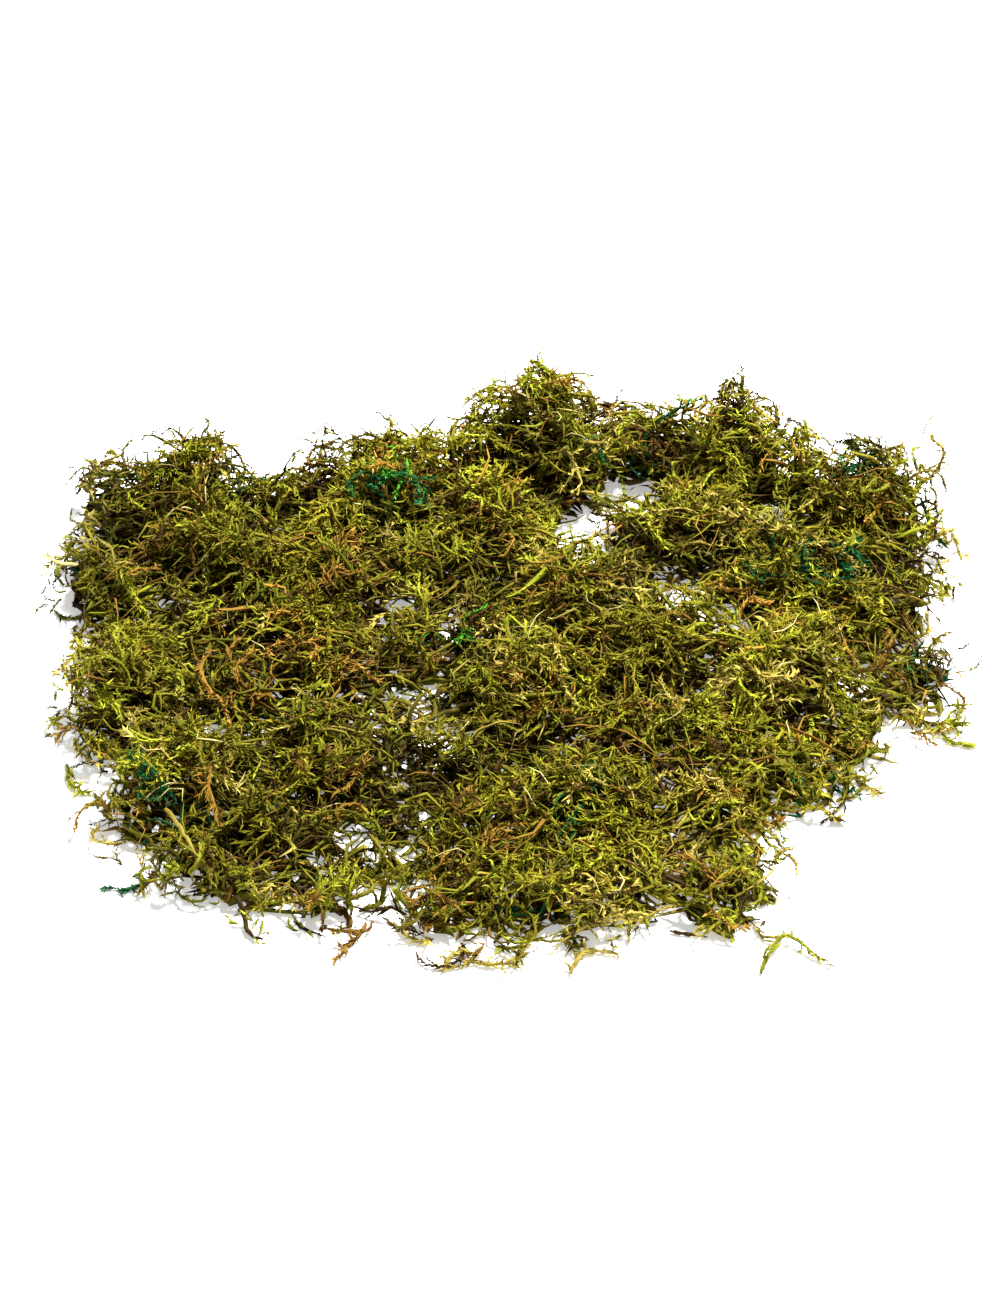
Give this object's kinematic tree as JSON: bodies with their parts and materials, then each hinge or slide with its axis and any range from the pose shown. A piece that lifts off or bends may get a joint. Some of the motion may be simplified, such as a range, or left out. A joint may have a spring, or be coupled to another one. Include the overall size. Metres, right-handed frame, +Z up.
{
  "type": "moss clump",
  "caption": "Clump of dried sheet moss: packed tufts of fine curled shoots in a loose, see-through mat, higher at the back, with loose stems and sprigs at its edge.",
  "frame": {"origin": "on the surface that the clump rests on, under the middle of its box", "axes": "+X along the clump, +Y from its low ragged front edge to its tall back edge, +Z up"},
  "size_m": [0.2642, 0.2324, 0.0405],
  "materials": {
    "moss_olive": "matte",
    "moss_golden": "matte",
    "moss_brown": "matte",
    "moss_dark_green": "matte",
    "stem_tan": "matte",
    "stem_dark": "matte",
    "straw": "matte",
    "bark": "matte"
  },
  "bodies": {
    "root": {"tuft_back_left_outer": "moss_brown", "tuft_back_left_peak": "moss_dark_green", "tuft_back_left_saddle": "moss_olive", "tuft_back_mid_left": "moss_olive", "tuft_back_centre": "moss_golden", "tuft_back_mid_right": "moss_brown", "tuft_back_right": "moss_brown", "tuft_far_back_right": "moss_dark_green", "tuft_left_end": "moss_golden", "tuft_left_rear": "moss_brown", "tuft_mid_left_rear": "moss_olive", "tuft_centre_rear": "moss_olive", "tuft_right_whorl": "moss_golden", "tuft_right_rear": "moss_dark_green", "tuft_right_end": "moss_olive", "tuft_centre": "moss_golden", "tuft_left_flank": "moss_olive", "tuft_inner_left": "moss_brown", "tuft_inner_mid": "moss_olive", "tuft_inner_centre": "moss_golden", "tuft_inner_right": "moss_olive", "tuft_right_flank": "moss_golden", "tuft_right_outlier": "moss_brown", "tuft_front_left": "moss_olive", "tuft_front_left_inner": "moss_brown", "tuft_front_centre": "moss_olive", "tuft_front_right_inner": "moss_golden", "tuft_front_right": "moss_olive", "tuft_front_left_foot": "moss_dark_green", "tuft_front_fringe_left": "moss_olive", "tuft_front_fringe_middle": "moss_golden", "tuft_front_fringe_right": "moss_golden", "sprig_tall_back_right": "straw", "sprig_far_right_spray": "stem_tan", "sprig_right_hanging": "moss_dark_green", "sprig_right_feather": "moss_golden", "straw_right_end": "straw", "straw_left_end": "straw", "stem_dark_back_left": "stem_dark", "stem_tan_curved": "stem_tan", "stem_tan_short": "stem_tan", "straw_front_left": "straw", "sprig_grey_green_curl": "moss_dark_green", "root_brown_hooked": "stem_dark", "needle_dark": "stem_dark", "sprig_brown_hooked": "stem_dark", "sprig_green_forked": "moss_olive", "sprig_tan_loose": "stem_tan", "sprig_front_left_twin": "moss_golden", "sprig_front_right_twin": "moss_golden", "sprig_front_tan": "stem_tan", "sprig_arching_right": "moss_golden", "bark_sliver": "bark", "stem_reddish": "stem_tan", "straw_right_front": "straw", "sprig_right_small": "stem_tan", "bud_brown": "bark", "sprig_yellow_left": "moss_golden", "sprig_far_right_low": "moss_golden"}
  },
  "joints": []
}
